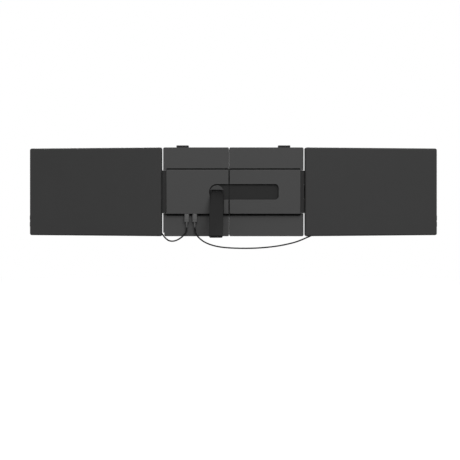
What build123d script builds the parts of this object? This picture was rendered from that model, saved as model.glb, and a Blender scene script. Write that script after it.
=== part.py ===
from build123d import *

import os
from math import cos, pi, radians, sin, tan

# A laptop screen extender: a centre unit that clips behind a laptop's lid, and
# two hinged screens, one on each side of it. Millimetres.
# +X is to the right seen from behind, +Y points to the user, +Z is up.
# The origin is the middle of the face that the laptop's lid rests against.

# ------------------------------------------------------------ driving dimensions

# screens
display_width = 301.6  # a 14 inch 16:10 picture
display_height = 188.5
side_border = 11.7
top_border = 9.75
wing_corner = 4.5
wing_rear_round = 4.0
wing_angle = 9.0  # how far a screen stands forward of flat, as stored here
shell_wall = 1.5
shell_skin = 1.2
cavity_round = 1.5
bezel_thickness = 1.3
panel_border = 3.5
panel_thickness = 1.8
backlight_thickness = 2.2
rear_space = 2.5  # room behind the backlight
inner_gap = 0.2
support_radius = 3.0
support_pitch = 92.5
support_rise = 40.0
driver_width = 110.0
driver_height = 22.0
driver_thickness = 1.2
driver_reach = 125.0
driver_rise = 32.0
speaker_width = 34.0
speaker_height = 12.0
speaker_corner = 2.0
speaker_inset = 60.0
speaker_rise = 12.0
open_front = 1.0  # front of both screens when they stand flat
fold_gap = 1.5  # between the lid rest and the screen folded first
stack_gap = 1.0  # between the two folded screens
tip_gap = 0.6  # between the first folded screen and the far hinge bar

# centre unit
back_plate_thickness = 3.0
plate_lip = 8.3  # how far the back plates reach past the hub
cable_notch_width = 2.5  # cut from the left plate's lower corner for its cable
cable_notch_height = 8.4
plate_corner = 4.0
plate_seam_corner = 3.0
plate_edge_break = 0.4
lid_pad_thickness = 1.0
pad_width = 90.0
pad_height = 135.0
pad_corner = 6.0
pad_end_gap = 12.0
pad_bottom_gap = 14.0
bridge_width = 90.0
bridge_margin = 4.0
bridge_corner = 4.0
hub_height = 103.0
hub_skin = 2.0
hub_round = 1.5
tray_step = 3.4  # how far the tray stands out above and below the covers
tray_inset = 0.5

# the two halves slide apart along these
seam_x = -9.9
seam_gap = 1.0
cover_seam_gap = 2.7  # the groove between the two covers' skins
slide_travel = 30.0
slide_clearance = 0.15
sleeve_clearance = 0.2
sleeve_side_gap = 0.5
sleeve_front_gap = 0.3
sleeve_wall = 1.2
sleeve_root = 10.6
sleeve_overlap = 15.4
bar_place = 30.0
slide_bar_width = 9.0
slide_bar_thickness = 1.6
slide_bar_inset = 21.0
slide_bar_overlap = 49.5
bar_lift = 0.2
guide_wall = 1.5
guide_roof = 1.2
guide_inset = 4.0
guide_length = 130.0

# cover screws
screw_radius = 1.2
screw_head_radius = 2.4
screw_head = 1.0
screw_length = 7.0
screw_sink = 0.2
hex_radius = 1.2
hex_depth = 0.6
boss_radius = 2.4
screw_end_inset = 6.0
screw_edge_inset = 5.0
screw_pitch = 84.0

# hinges
bar_height = 100.0
bar_width = 8.0  # as seen from behind
right_reach = 11.9  # hinge axis from the hub's end
left_reach = 6.0
right_overhang = 1.7  # how far the right screen's edge lies inside its hinge axis
right_knuckle_radius = 2.8
left_knuckle_radius = 3.2
knuckle_gap = 0.3
pin_radius = 1.5
pin_clearance = 0.05
pin_end_gap = 0.5
middle_knuckle = 33.0
bar_gap = 0.35
bar_corner = 3.0
arm_step = 0.25
bar_skin_gap = 1.2
bar_skin = 2.8  # covers the left hinge's leaf from behind
lip_reach = 3.2  # slopes out of the left bar, behind the screen's edge
lip_edge = 0.5
plate_notch_gap = 0.2
foot_half = 34.0
foot_inset = 14.0
foot_cover = 0.65
leaf_thickness = 1.5
leaf_length = 45.0
leaf_height = 32.0
leaf_slot_gap = 0.2
leaf_slot_reach = 3.2  # how far the leaf's cut runs in from the screen's edge
leaf_wall_gap = 0.4
left_riser_half = 1.5
leaf_screw_start = 14.0
leaf_screw_end = 7.0
leaf_screw_edge = 5.0

# kickstand
pivot_x = -38.6
leg_width = 31.0
leg_thickness = 5.0
leg_length = 143.0  # from the swivel pivot to the foot
leg_angle = 46.0  # how far the leg stands out, as stored here
leg_round = 1.2
leg_hollow_depth = 0.8
leg_hollow_border = 4.5
leg_hollow_ends = 12.0
leg_hollow_corner = 4.0
neck_gap = 0.7
head_inset = 0.2
head_base = 1.0
head_round = 1.0
head_clearance = 0.1
tilt_drop = 3.0
ear_width = 3.8
ear_gap = 0.2
ear_root = 1.5
cap_start = 4.4
slot_side_gap = 2.6
slot_end_gap = 1.0
slot_corner = 8.5
branch_clearance = 0.6
recess_wall = 1.2
recess_floor = 1.2
swivel_pin_radius = 3.0
washer_radius = 6.5
washer_thickness = 0.7
washer_gap = 0.1
nut_radius = 5.5
nut_thickness = 2.0
nut_space = 0.9
tilt_pin_radius = 1.2
pad_length = 3.5
pad_side_inset = 1.0
pad_face_inset = 0.2
pad_round = 1.0
pad_end_corner = 2.2

# hooks over the lid's top edge
hook_inset = 37.0  # from the hub's end to the hook's middle
hook_width = 28.5
hook_rise = 4.7
hook_throat = 8.0
hook_lip = 2.0
hook_flange = 1.6
hook_liner = 0.6
hook_round = 1.2
lip_lift = 0.3  # the lip clears a folded screen by this much
hook_gap = 0.3
blade_width = 24.0
blade_thickness = 1.2
blade_clearance = 0.1
blade_engaged = 20.0
hook_travel = 30.0
pocket_spare = 6.0

# circuit and sockets
board_thickness = 1.6
board_side_gap = 1.6
board_bottom_gap = 0.5
board_top_gap = 8.0
post_inset = 4.5
post_radius = 2.5
board_hole_gap = 0.3
board_screw_radius = 0.8
board_screw_head = 1.0
board_screw_head_radius = 1.9
board_screw_reach = 2.0
host_socket_reach = 22.0
left_socket_reach = 47.2
right_socket_reach = 66.0
socket_gap = 0.3
socket_wall = 0.35
socket_back = 0.8
socket_round = 1.5
opening_gap = 0.1
tongue_width = 8.25
tongue_thickness = 2.4
tongue_length = 6.2
tongue_round = 1.1
tongue_clearance = 0.1
tongue_end_gap = 0.9
plug_gap = 0.4
plug_width = 11.4
plug_thickness = 5.8
plug_length = 18.5
plug_round = 2.4
plug_neck = 11.6
neck_root_radius = 2.7
neck_end_radius = 1.9

# cords
cord_radius = 1.7
cord_drop = 9.8  # straight run below each plug
gland_radius = 2.1
left_gland_length = 6.0
left_gland_reach = 3.55
left_gland_rise = 4.0
left_gland_y = -2.9
left_gland_lean = 36.0  # from straight up, away from the hub
left_last_run = 11.5
right_gland_length = 14.0
right_gland_reach = 5.3
right_gland_drop = 2.5
right_gland_y = -1.9
right_gland_lean = 65.2
right_last_run = 20.0

# buttons
button_length = 10.0
button_height = 3.0
button_proud = 0.6
button_gap = 0.15
button_flange = 0.8
button_shift = 0.5  # forward of the middle of a screen's thickness
power_rise = 42.0
menu_rise = 26.0

cut_overrun = 1.0  # how far a cut runs past the face it opens

# ------------------------------------------------------------ places worked out

wing_width = display_width + 2 * side_border
wing_height = display_height + 2 * top_border
wing_thickness = (
    bezel_thickness + panel_thickness + backlight_thickness + rear_space + shell_skin
)
top = wing_height / 2
first_fold_front = fold_gap
second_fold_front = fold_gap + wing_thickness + stack_gap
hub_half = (wing_width - right_overhang + tip_gap - right_reach) / 2
hub_top = hub_height / 2
cover_inner = hub_top - hub_skin
plate_half = hub_half + plate_lip
hook_x = hub_half - hook_inset
plate_front = -lid_pad_thickness
plate_rear = plate_front - back_plate_thickness
tray_rear = plate_rear - washer_thickness - nut_thickness - nut_space
recess_front = tray_rear - recess_floor
head_front = recess_front - head_clearance
base_rear = head_front - head_base
hub_rear = base_rear - head_clearance - leg_thickness
leg_mid = hub_rear + leg_thickness / 2
cover_depth = tray_rear - hub_rear
foot_thickness = plate_rear - tray_rear - foot_cover - slide_clearance
left_edge = seam_x - seam_gap / 2
right_edge = seam_x + seam_gap / 2
slot_half = leg_width / 2 + slot_side_gap
slot_end = pivot_x + leg_length + slot_end_gap
branch_half = leg_width / 2 + branch_clearance
bar_half = bar_height / 2
sides = (("left", -1), ("right", 1))
seam_edge = {"left": left_edge, "right": right_edge}
cover_edge = {side: seam_x + s * cover_seam_gap / 2 for side, s in sides}
slide_front = {"left": plate_front, "right": plate_front - slide_clearance}
axis_x = {"left": -(hub_half + left_reach), "right": hub_half + right_reach}
fold_front = {"left": second_fold_front, "right": first_fold_front}
knuckle_radius = {"left": left_knuckle_radius, "right": right_knuckle_radius}
start = {"left": left_knuckle_radius + knuckle_gap, "right": -right_overhang}
axis_y = {side: (fold_front[side] + open_front) / 2 for side, s in sides}
front_depth = {side: (fold_front[side] - open_front) / 2 for side, s in sides}

os.makedirs("parts", exist_ok=True)


def save(builder, node):
    """Label a finished piece and write it as one STEP file."""
    builder.part.label = node
    export_step(builder.part, f"parts/{node}.step")


def rear(y):
    """The upright plane at depth y that faces backwards."""
    return Plane.XZ.offset(-y)


def wing_plane(side, s, depth=0.0):
    """An upright plane along a screen, at a depth behind its hinge axis."""
    turn = radians(wing_angle)
    normal = Vector(s * sin(turn), -cos(turn), 0)
    place = Vector(axis_x[side], axis_y[side], 0) + normal * depth
    return Plane(place, x_dir=(cos(turn), s * sin(turn), 0), z_dir=normal)


def hinge_plane(side, s, z=0.0):
    """The level plane at a hinge axis, turned with its screen."""
    turn = radians(wing_angle)
    return Plane((axis_x[side], axis_y[side], z), x_dir=(cos(turn), s * sin(turn), 0))


def wing_x(side, s, reach):
    """Local X of a point that lies reach outwards of a screen's inner edge."""
    return s * (start[side] + reach)


# ------------------------------------------------------------ board, screw places

socket_width = tongue_width + 2 * (tongue_clearance + socket_wall)
socket_height = tongue_thickness + 2 * (tongue_clearance + socket_wall)
socket_depth = tongue_length - plug_gap + tongue_end_gap + socket_back
socket_xs = [-hub_half + r for r in (host_socket_reach, left_socket_reach, right_socket_reach)]
port_y = hub_rear + hub_skin + socket_gap + socket_height / 2
board_rear = port_y + socket_height / 2
board_front = board_rear + board_thickness
board_left = -hub_half + screw_end_inset + boss_radius + board_side_gap
board_right = -hub_half + screw_end_inset + screw_pitch - boss_radius - board_side_gap
board_bottom = -cover_inner + board_bottom_gap
board_top = hub_top - board_top_gap
board_posts = [
    (x, z)
    for x in (board_left + post_inset, board_right - post_inset)
    for z in (board_bottom + post_inset, board_top - post_inset)
]
screw_reaches = (hub_half - screw_end_inset, hub_half - screw_end_inset - screw_pitch)
screw_zs = (hub_top - screw_edge_inset, screw_edge_inset - hub_top)
head_recess = screw_head + screw_sink
blade_length = blade_engaged + hook_travel
pocket_y = (plate_front + plate_rear) / 2

# ------------------------------------------------------------ back plates, trays

for side, s in sides:
    inner = seam_edge[side]
    outer = s * plate_half
    face = slide_front[side]
    cover_screws = [(s * reach, z) for reach in screw_reaches for z in screw_zs]

    with BuildPart() as back_plate:
        with BuildSketch(rear(face)):
            with Locations(((inner + outer) / 2, 0)):
                Rectangle(abs(outer - inner), wing_height)
            if side == "left":
                with Locations((outer, -top)):
                    notch = (2 * cable_notch_width, 2 * cable_notch_height)
                    Rectangle(*notch, mode=Mode.SUBTRACT)
            seam_corners = vertices().group_by(Axis.X)[0 if s > 0 else -1]
            fillet(seam_corners, plate_seam_corner)
            rows = vertices().group_by(Axis.Y)
            end_corners = [row.sort_by(Axis.X)[-1 if s > 0 else 0] for row in (rows[0], rows[-1])]
            fillet(end_corners, plate_corner)
        extrude(amount=face - plate_rear)
        chamfer(back_plate.faces().sort_by(Axis.Y)[0].edges(), plate_edge_break)
        with BuildSketch(rear(plate_front)):
            with Locations((s * plate_half, 0)):
                Rectangle(2 * (plate_lip + plate_notch_gap), bar_height + 2 * bar_gap)
        extrude(amount=back_plate_thickness, mode=Mode.SUBTRACT)
        with BuildSketch(Plane.XY.offset(top)):
            with Locations((s * hook_x, pocket_y)):
                pocket_width = blade_width + 2 * slide_clearance
                Rectangle(pocket_width, blade_thickness + 2 * blade_clearance)
        extrude(amount=-(blade_length + pocket_spare), mode=Mode.SUBTRACT)
        with BuildSketch(rear(face)):
            with Locations(*cover_screws):
                Circle(screw_radius + slide_clearance)
        extrude(amount=back_plate_thickness, mode=Mode.SUBTRACT)
        with BuildSketch(rear(face)):
            with Locations(*cover_screws):
                Circle(screw_head_radius + slide_clearance)
        extrude(amount=head_recess, mode=Mode.SUBTRACT)
        if side == "left":
            with BuildSketch(rear(plate_rear)):
                with Locations(*board_posts):
                    Circle(post_radius)
                    Circle(board_screw_radius, mode=Mode.SUBTRACT)
            extrude(amount=plate_rear - board_front)
    save(back_plate, f"{side}_back_plate")

    with BuildPart() as hub_screws:
        with BuildSketch(rear(face - screw_sink)):
            with Locations(*cover_screws):
                Circle(screw_head_radius)
        extrude(amount=screw_head)
        with BuildSketch(rear(face - head_recess)):
            with Locations(*cover_screws):
                Circle(screw_radius)
        extrude(amount=screw_length)
        with BuildSketch(rear(face - screw_sink)):
            with Locations(*cover_screws):
                RegularPolygon(hex_radius, 6)
        extrude(amount=hex_depth, mode=Mode.SUBTRACT)
    save(hub_screws, f"{side}_hub_screws")

    with BuildPart() as lid_pad:
        with BuildSketch(rear(0)):
            pad_x = s * (plate_half - pad_end_gap - pad_width / 2)
            with Locations((pad_x, pad_bottom_gap + pad_height / 2 - top)):
                RectangleRounded(pad_width, pad_height, pad_corner)
        extrude(amount=-face)
    save(lid_pad, f"{side}_lid_pad")

    with BuildPart() as hub_tray:
        with BuildSketch(rear(plate_rear)):
            with Locations(((inner + s * hub_half) / 2, 0)):
                Rectangle(abs(s * hub_half - inner), 2 * (hub_top + tray_step))
            hollow_end = s * (hub_half - hub_skin)
            with Locations(((inner + hollow_end) / 2, 0)):
                hollow_height = 2 * (cover_inner + tray_inset)
                Rectangle(abs(hollow_end - inner), hollow_height, mode=Mode.SUBTRACT)
        extrude(amount=plate_rear - tray_rear)
        with BuildSketch(rear(plate_rear)):
            with Locations((s * hub_half, 0)):
                Rectangle(2 * (hub_skin + cut_overrun), 2 * (foot_half + slide_clearance))
        extrude(amount=foot_thickness + slide_clearance, mode=Mode.SUBTRACT)
    save(hub_tray, f"{side}_hub_tray")

# ------------------------------------------------------------ hub covers


def hub_shell(edge, end):
    """A hub cover's rounded shell, open at the seam and at its front."""
    width = abs(end - edge)
    outwards = 1 if end > edge else -1
    with BuildPart() as shell:
        with BuildSketch(rear(tray_rear)):
            with Locations(((edge + end) / 2, 0)):
                Rectangle(width, hub_height)
        extrude(amount=cover_depth)
        outline = shell.faces().sort_by(Axis.Y)[0].edges()
        closed = [e for e in outline if abs(e.center().X - edge) > seam_gap / 2]
        fillet(closed, hub_round)
        with BuildSketch(rear(tray_rear)):
            hollow_end = end - outwards * hub_skin
            with Locations(((edge + hollow_end) / 2, 0)):
                Rectangle(abs(hollow_end - edge), 2 * cover_inner)
        extrude(amount=cover_depth - hub_skin, mode=Mode.SUBTRACT)
    return shell.part


def left_recess(grow):
    """The leg's recess in the left cover, grown by a wall where asked."""
    with BuildSketch(mode=Mode.PRIVATE) as outline:
        with Locations((pivot_x, 0)):
            Circle(slot_half + grow)
        with Locations(((pivot_x + left_edge) / 2, 0)):
            Rectangle(left_edge - pivot_x, 2 * (slot_half + grow))
        with Locations((pivot_x, -hub_top / 2)):
            Rectangle(2 * (branch_half + grow), hub_top)
    return outline.sketch


def right_recess(grow):
    """The leg's recess in the right cover, grown by a wall where asked."""
    with BuildSketch(mode=Mode.PRIVATE) as outline:
        with Locations(((right_edge + slot_end + grow) / 2, 0)):
            Rectangle(slot_end + grow - right_edge, 2 * (slot_half + grow))
        fillet(vertices().group_by(Axis.X)[-1], slot_corner + grow)
    return outline.sketch


for side, s in sides:
    recess = left_recess if side == "left" else right_recess
    cover_screws = [(s * reach, z) for reach in screw_reaches for z in screw_zs]
    with BuildPart() as hub_cover:
        add(hub_shell(cover_edge[side], s * hub_half))
        with BuildSketch(rear(tray_rear)):
            add(recess(recess_wall))
        extrude(amount=cover_depth - hub_skin)
        with BuildSketch(rear(recess_front)):
            add(recess(0))
        extrude(amount=recess_front - hub_rear, mode=Mode.SUBTRACT)
        with BuildSketch(rear(plate_rear)):
            with Locations(*cover_screws):
                Circle(boss_radius)
        extrude(amount=plate_rear - hub_rear - hub_skin)
        with BuildSketch(rear(plate_rear)):
            with Locations(*cover_screws):
                Circle(screw_radius)
        extrude(amount=screw_length, mode=Mode.SUBTRACT)
        if side == "left":
            with BuildSketch(rear(tray_rear)):
                with Locations((pivot_x, 0)):
                    Circle(swivel_pin_radius + pin_clearance)
            extrude(amount=recess_floor, mode=Mode.SUBTRACT)
            with BuildSketch(Plane.XY.offset(-hub_top)):
                with Locations(*[(x, port_y) for x in socket_xs]):
                    opening = (socket_width + 2 * opening_gap, socket_height + 2 * opening_gap)
                    RectangleRounded(*opening, socket_round + opening_gap)
            extrude(amount=hub_skin, mode=Mode.SUBTRACT)
    save(hub_cover, f"{side}_hub_cover")

# ------------------------------------------------------------ sliding parts

block_half = cover_inner - sleeve_side_gap
valley_half = slot_half + recess_wall + sleeve_clearance
sleeve_rear = hub_rear + hub_skin + sleeve_clearance
sleeve_front = plate_rear - sleeve_front_gap
floor_rear = tray_rear + sleeve_clearance
sleeve_x = left_edge - sleeve_root
sleeve_length = sleeve_root + slide_travel + sleeve_overlap

# dark liner that fills the gap when the halves are pulled apart
with BuildPart() as telescope_sleeve:
    with BuildSketch(Plane.YZ.offset(sleeve_x)):
        for up in (-1, 1):
            block_z = up * (block_half + valley_half) / 2
            with Locations(((sleeve_rear + sleeve_front) / 2, block_z)):
                Rectangle(sleeve_front - sleeve_rear, block_half - valley_half)
            with Locations(((sleeve_rear + sleeve_front + sleeve_wall) / 2, block_z)):
                hollow = block_half - valley_half - 2 * sleeve_wall
                depth = sleeve_front - sleeve_rear - sleeve_wall
                Rectangle(depth, hollow, mode=Mode.SUBTRACT)
        with Locations((floor_rear + sleeve_wall / 2, 0)):
            Rectangle(sleeve_wall, 2 * valley_half)
    extrude(amount=sleeve_length)
    with BuildSketch(Plane.YZ.offset(sleeve_x)):
        for up in (-1, 1):
            tab_z = up * (block_half - sleeve_wall / 2)
            with Locations(((sleeve_front + plate_rear) / 2, tab_z)):
                Rectangle(plate_rear - sleeve_front, sleeve_wall)
    extrude(amount=sleeve_root)
save(telescope_sleeve, "telescope_sleeve")

slide_bar_start = -hub_half + slide_bar_inset
slide_bar_end = right_edge + slide_travel + slide_bar_overlap
with BuildPart() as slide_bars:
    with BuildSketch(rear(plate_rear - bar_lift)):
        middle = (slide_bar_start + slide_bar_end) / 2
        with Locations((middle, -bar_place), (middle, bar_place)):
            Rectangle(slide_bar_end - slide_bar_start, slide_bar_width)
    extrude(amount=slide_bar_thickness)
    with BuildSketch(rear(plate_rear)):
        middle = (slide_bar_start + sleeve_x) / 2
        with Locations((middle, -bar_place), (middle, bar_place)):
            Rectangle(sleeve_x - slide_bar_start, slide_bar_width)
    extrude(amount=bar_lift)
save(slide_bars, "slide_bars")

guide_depth = bar_lift + slide_bar_thickness + slide_clearance
guide_bore = slide_bar_width + 2 * slide_clearance
guide_middle = right_edge + guide_inset + guide_length / 2
with BuildPart() as rail_guides:
    with BuildSketch(rear(plate_rear)):
        with Locations((guide_middle, -bar_place), (guide_middle, bar_place)):
            Rectangle(guide_length, guide_bore + 2 * guide_wall)
    extrude(amount=guide_depth + guide_roof)
    with BuildSketch(rear(plate_rear)):
        with Locations((guide_middle, -bar_place), (guide_middle, bar_place)):
            Rectangle(guide_length, guide_bore)
    extrude(amount=guide_depth, mode=Mode.SUBTRACT)
save(rail_guides, "rail_guides")

# plate in front of the seam, fixed to the left half, that the lid's middle rests on
with BuildPart() as bridge_plate:
    with BuildSketch(rear(0)):
        RectangleRounded(bridge_width, wing_height - 2 * bridge_margin, bridge_corner)
    extrude(amount=lid_pad_thickness)
save(bridge_plate, "bridge_plate")

# ------------------------------------------------------------ circuit

with BuildPart() as circuit_board:
    with BuildSketch(rear(board_front)):
        with Locations(((board_left + board_right) / 2, (board_bottom + board_top) / 2)):
            Rectangle(board_right - board_left, board_top - board_bottom)
        with Locations(*board_posts):
            Circle(board_screw_radius + board_hole_gap, mode=Mode.SUBTRACT)
    extrude(amount=board_thickness)
save(circuit_board, "circuit_board")

with BuildPart() as board_screws:
    with BuildSketch(rear(board_rear)):
        with Locations(*board_posts):
            Circle(board_screw_head_radius)
    extrude(amount=board_screw_head)
    with BuildSketch(rear(board_front + board_screw_reach)):
        with Locations(*board_posts):
            Circle(board_screw_radius)
    extrude(amount=board_thickness + board_screw_reach)
save(board_screws, "board_screws")

with BuildPart() as usb_sockets:
    with BuildSketch(Plane.XY.offset(-hub_top)):
        with Locations(*[(x, port_y) for x in socket_xs]):
            RectangleRounded(socket_width, socket_height, socket_round)
    extrude(amount=socket_depth)
    with BuildSketch(Plane.XY.offset(-hub_top)):
        with Locations(*[(x, port_y) for x in socket_xs]):
            bore = (socket_width - 2 * socket_wall, socket_height - 2 * socket_wall)
            RectangleRounded(*bore, socket_round - socket_wall)
    extrude(amount=socket_depth - socket_back, mode=Mode.SUBTRACT)
save(usb_sockets, "usb_sockets")

# ------------------------------------------------------------ hinge bars

bore_radius = pin_radius + pin_clearance
pocket_half = middle_knuckle / 2 + bar_gap
skin_front = open_front - wing_thickness - bar_skin_gap
bar_rear = skin_front - bar_skin
bar_end = hub_half + bar_width
arm_depth = right_knuckle_radius + arm_step
arm_rear = axis_y["right"] - arm_depth
left_face = axis_x["left"] - start["left"] + bar_gap
left_inner = axis_x["left"] + left_knuckle_radius
lip_end = bar_end + lip_reach

with BuildPart() as right_hinge_bar:
    with BuildSketch(Plane.XY.offset(-bar_half)):
        with Locations(((hub_half + bar_end) / 2, (bar_rear + arm_rear) / 2)):
            Rectangle(bar_width, arm_rear - bar_rear)
    extrude(amount=bar_height)
    ends = right_hinge_bar.edges().filter_by(Axis.Y).group_by(Axis.X)[-1]
    chamfer(ends, bar_corner)
    with BuildSketch(Plane.XY.offset(-bar_half)):
        with Locations(((hub_half + axis_x["right"]) / 2, (arm_rear + open_front) / 2)):
            Rectangle(right_reach, open_front - arm_rear)
        with Locations((axis_x["right"], axis_y["right"])):
            Circle(right_knuckle_radius)
    extrude(amount=bar_height)
    with BuildSketch(Plane.XY.offset(-pocket_half)):
        with Locations((axis_x["right"], axis_y["right"])):
            pocket_width = 2 * (right_knuckle_radius + knuckle_gap)
            Rectangle(pocket_width, pocket_width)
    extrude(amount=2 * pocket_half, mode=Mode.SUBTRACT)
    with BuildSketch(Plane.XY.offset(-bar_half)):
        with Locations((axis_x["right"], axis_y["right"])):
            Circle(bore_radius)
    extrude(amount=bar_height, mode=Mode.SUBTRACT)
    with BuildSketch(rear(plate_rear)):
        with Locations((hub_half - foot_inset / 2, 0)):
            Rectangle(foot_inset, 2 * foot_half)
    extrude(amount=foot_thickness)
save(right_hinge_bar, "right_hinge_bar")

with BuildPart() as left_hinge_bar:
    with BuildSketch(Plane.XY.offset(-bar_half)):
        with Locations((-(hub_half + bar_end) / 2, (bar_rear + plate_rear) / 2)):
            Rectangle(bar_width, plate_rear - bar_rear)
        with BuildLine():
            Polyline(
                (-bar_end, skin_front),
                (-bar_end, bar_rear),
                (-lip_end, skin_front - lip_edge),
                (-lip_end, skin_front),
                close=True,
            )
        make_face()
    extrude(amount=bar_height)
    with BuildSketch(Plane.XY.offset(-bar_half)):
        with Locations(((left_face - hub_half) / 2, plate_rear / 2)):
            Rectangle(-hub_half - left_face, -plate_rear)
        with Locations(((left_face + left_inner) / 2, axis_y["left"] / 2)):
            Rectangle(left_inner - left_face, axis_y["left"])
        with Locations((axis_x["left"], axis_y["left"])):
            Circle(left_knuckle_radius)
    extrude(amount=bar_height)
    with BuildSketch(Plane.XY.offset(-pocket_half)):
        pocket_top = axis_y["left"] + left_knuckle_radius + cut_overrun
        pocket_left = left_face - cut_overrun
        with Locations(((pocket_left + left_inner) / 2, (skin_front + pocket_top) / 2)):
            Rectangle(left_inner - pocket_left, pocket_top - skin_front)
    extrude(amount=2 * pocket_half, mode=Mode.SUBTRACT)
    with BuildSketch(Plane.XY.offset(-bar_half)):
        with Locations((axis_x["left"], axis_y["left"])):
            Circle(bore_radius)
    extrude(amount=bar_height, mode=Mode.SUBTRACT)
    with BuildSketch(rear(plate_rear)):
        with Locations((-hub_half + foot_inset / 2, 0)):
            Rectangle(foot_inset, 2 * foot_half)
    extrude(amount=foot_thickness)
save(left_hinge_bar, "left_hinge_bar")

# ------------------------------------------------------------ cords and plugs

left_socket_x = -hub_half + left_socket_reach
right_socket_x = -hub_half + right_socket_reach
plug_top = -hub_top - plug_gap
neck_top = plug_top - plug_length
neck_end = neck_top - plug_neck


def entry_way(s, lean):
    """The direction in which a cable goes into its screen."""
    return Vector(s * sin(radians(lean)), 0, cos(radians(lean)))


entry_ways = {"left": entry_way(-1, left_gland_lean), "right": entry_way(1, right_gland_lean)}
entries = {
    "left": Vector(axis_x["left"] - left_gland_reach, left_gland_y, left_gland_rise - top),
    "right": Vector(axis_x["right"] + right_gland_reach, right_gland_y, -top - right_gland_drop),
}
left_route = [
    (left_socket_x, port_y, neck_end),
    (left_socket_x, port_y, neck_end - cord_drop),
    (-114.5, -9.8, -100.8),
    (-124.0, -6.9, -108.7),
    (-136.5, -4.2, -115.3),
    (-149.5, -3.0, -115.5),
    entries["left"] - entry_ways["left"] * left_last_run,
    entries["left"],
]
right_route = [
    (right_socket_x, port_y, neck_end),
    (right_socket_x, port_y, neck_end - cord_drop),
    (-86.0, -9.8, -100.9),
    (-78.4, -7.8, -109.4),
    (-67.5, -5.4, -117.8),
    (-52.0, -4.2, -124.4),
    (-33.0, -3.6, -129.0),
    (-9.0, -3.2, -131.4),
    (20.0, -3.0, -132.3),
    (50.0, -3.0, -132.0),
    (80.0, -2.8, -129.9),
    (108.0, -2.6, -126.4),
    (121.0, -2.4, -123.65),
]
tail_route = [
    (121.0, -2.4, -123.65),
    (134.0, -2.2, -120.9),
    entries["right"] - entry_ways["right"] * right_last_run,
    entries["right"],
]


def corner_radii(route):
    """Each corner's arc: 0.45 of the shorter run over the tangent of half the turn."""
    points = [Vector(*p) for p in route]
    radii = []
    for before, here, after in zip(points, points[1:], points[2:]):
        turn = (here - before).get_angle(after - here)
        shorter = min((here - before).length, (after - here).length)
        radii.append(0.45 * shorter / tan(radians(turn) / 2))
    return radii


def cord(route, node):
    """A round cord along straight runs joined by tangent arcs."""
    radii = corner_radii(route)
    with BuildPart() as tube:
        with BuildLine() as path:
            FilletPolyline(*route, radius=radii)
        with BuildSketch(Plane(route[0], z_dir=Vector(*route[1]) - Vector(*route[0]))):
            Circle(cord_radius)
        sweep(path=path.wires()[0])
    length = path.wires()[0].length
    share = tube.part.volume / (pi * cord_radius**2 * length)
    print(node, "radii", [round(r, 1) for r in radii])
    print(node, "length", round(length, 1), "volume over section x length", round(share, 4))
    save(tube, node)


cord(left_route, "left_cable")
cord(right_route, "right_cable")
cord(tail_route, "right_cable_end")

for node, x in (("left_plug", left_socket_x), ("right_plug", right_socket_x)):
    with BuildPart() as plug:
        with BuildSketch(Plane.XY.offset(plug_top)):
            with Locations((x, port_y)):
                RectangleRounded(plug_width, plug_thickness, plug_round)
        extrude(amount=-plug_length)
        with BuildSketch(Plane.XY.offset(neck_top)):
            with Locations((x, port_y)):
                Circle(neck_root_radius)
        with BuildSketch(Plane.XY.offset(neck_end)):
            with Locations((x, port_y)):
                Circle(neck_end_radius)
        loft()
    save(plug, node)

with BuildPart() as plug_tongues:
    with BuildSketch(Plane.XY.offset(plug_top)):
        with Locations((left_socket_x, port_y), (right_socket_x, port_y)):
            RectangleRounded(tongue_width, tongue_thickness, tongue_round)
    extrude(amount=tongue_length)
save(plug_tongues, "plug_tongues")

# ------------------------------------------------------------ kickstand

head_radius = leg_width / 2 - head_inset
ear_half = head_radius - ear_width
knuckle_half = ear_half - ear_gap
leg_knuckle = leg_thickness / 2
pin_front = tray_rear + washer_thickness + nut_thickness

with BuildPart() as swivel_head:
    with BuildSketch(rear(head_front)):
        with Locations((pivot_x, 0)):
            Circle(head_radius)
            Circle(swivel_pin_radius, mode=Mode.SUBTRACT)
    extrude(amount=head_base)
    with BuildSketch(rear(base_rear)):
        with Locations((pivot_x, 0)):
            Circle(head_radius)
        with Locations((pivot_x, cap_start - head_radius)):
            Rectangle(2 * head_radius, 2 * head_radius, mode=Mode.SUBTRACT)
    extrude(amount=base_rear - hub_rear)
    fillet(swivel_head.faces().sort_by(Axis.Y)[0].edges(), head_round)
    for left_side in (pivot_x - head_radius, pivot_x + ear_half):
        ear_top = cap_start + ear_root
        with BuildSketch(Plane.YZ.offset(left_side)):
            with Locations((leg_mid, -tilt_drop)):
                Circle(leg_knuckle)
            with Locations((leg_mid, (ear_top - tilt_drop) / 2)):
                Rectangle(leg_thickness, ear_top + tilt_drop)
        extrude(amount=ear_width)
    with BuildSketch(Plane.YZ.offset(pivot_x - head_radius)):
        with Locations((leg_mid, -tilt_drop)):
            Circle(tilt_pin_radius)
    extrude(amount=2 * head_radius, mode=Mode.SUBTRACT)
save(swivel_head, "swivel_head")

with BuildPart() as tilt_pin:
    with BuildSketch(Plane.YZ.offset(pivot_x - head_radius)):
        with Locations((leg_mid, -tilt_drop)):
            Circle(tilt_pin_radius)
    extrude(amount=2 * head_radius)
save(tilt_pin, "tilt_pin")

with BuildPart() as swivel_pin:
    with BuildSketch(rear(pin_front)):
        with Locations((pivot_x, 0)):
            Circle(swivel_pin_radius)
    extrude(amount=pin_front - base_rear)
save(swivel_pin, "swivel_pin")

with BuildPart() as swivel_washer:
    with BuildSketch(rear(tray_rear + washer_thickness)):
        with Locations((pivot_x, 0)):
            Circle(washer_radius)
            Circle(swivel_pin_radius, mode=Mode.SUBTRACT)
    extrude(amount=washer_thickness - washer_gap)
save(swivel_washer, "swivel_washer")

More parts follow.
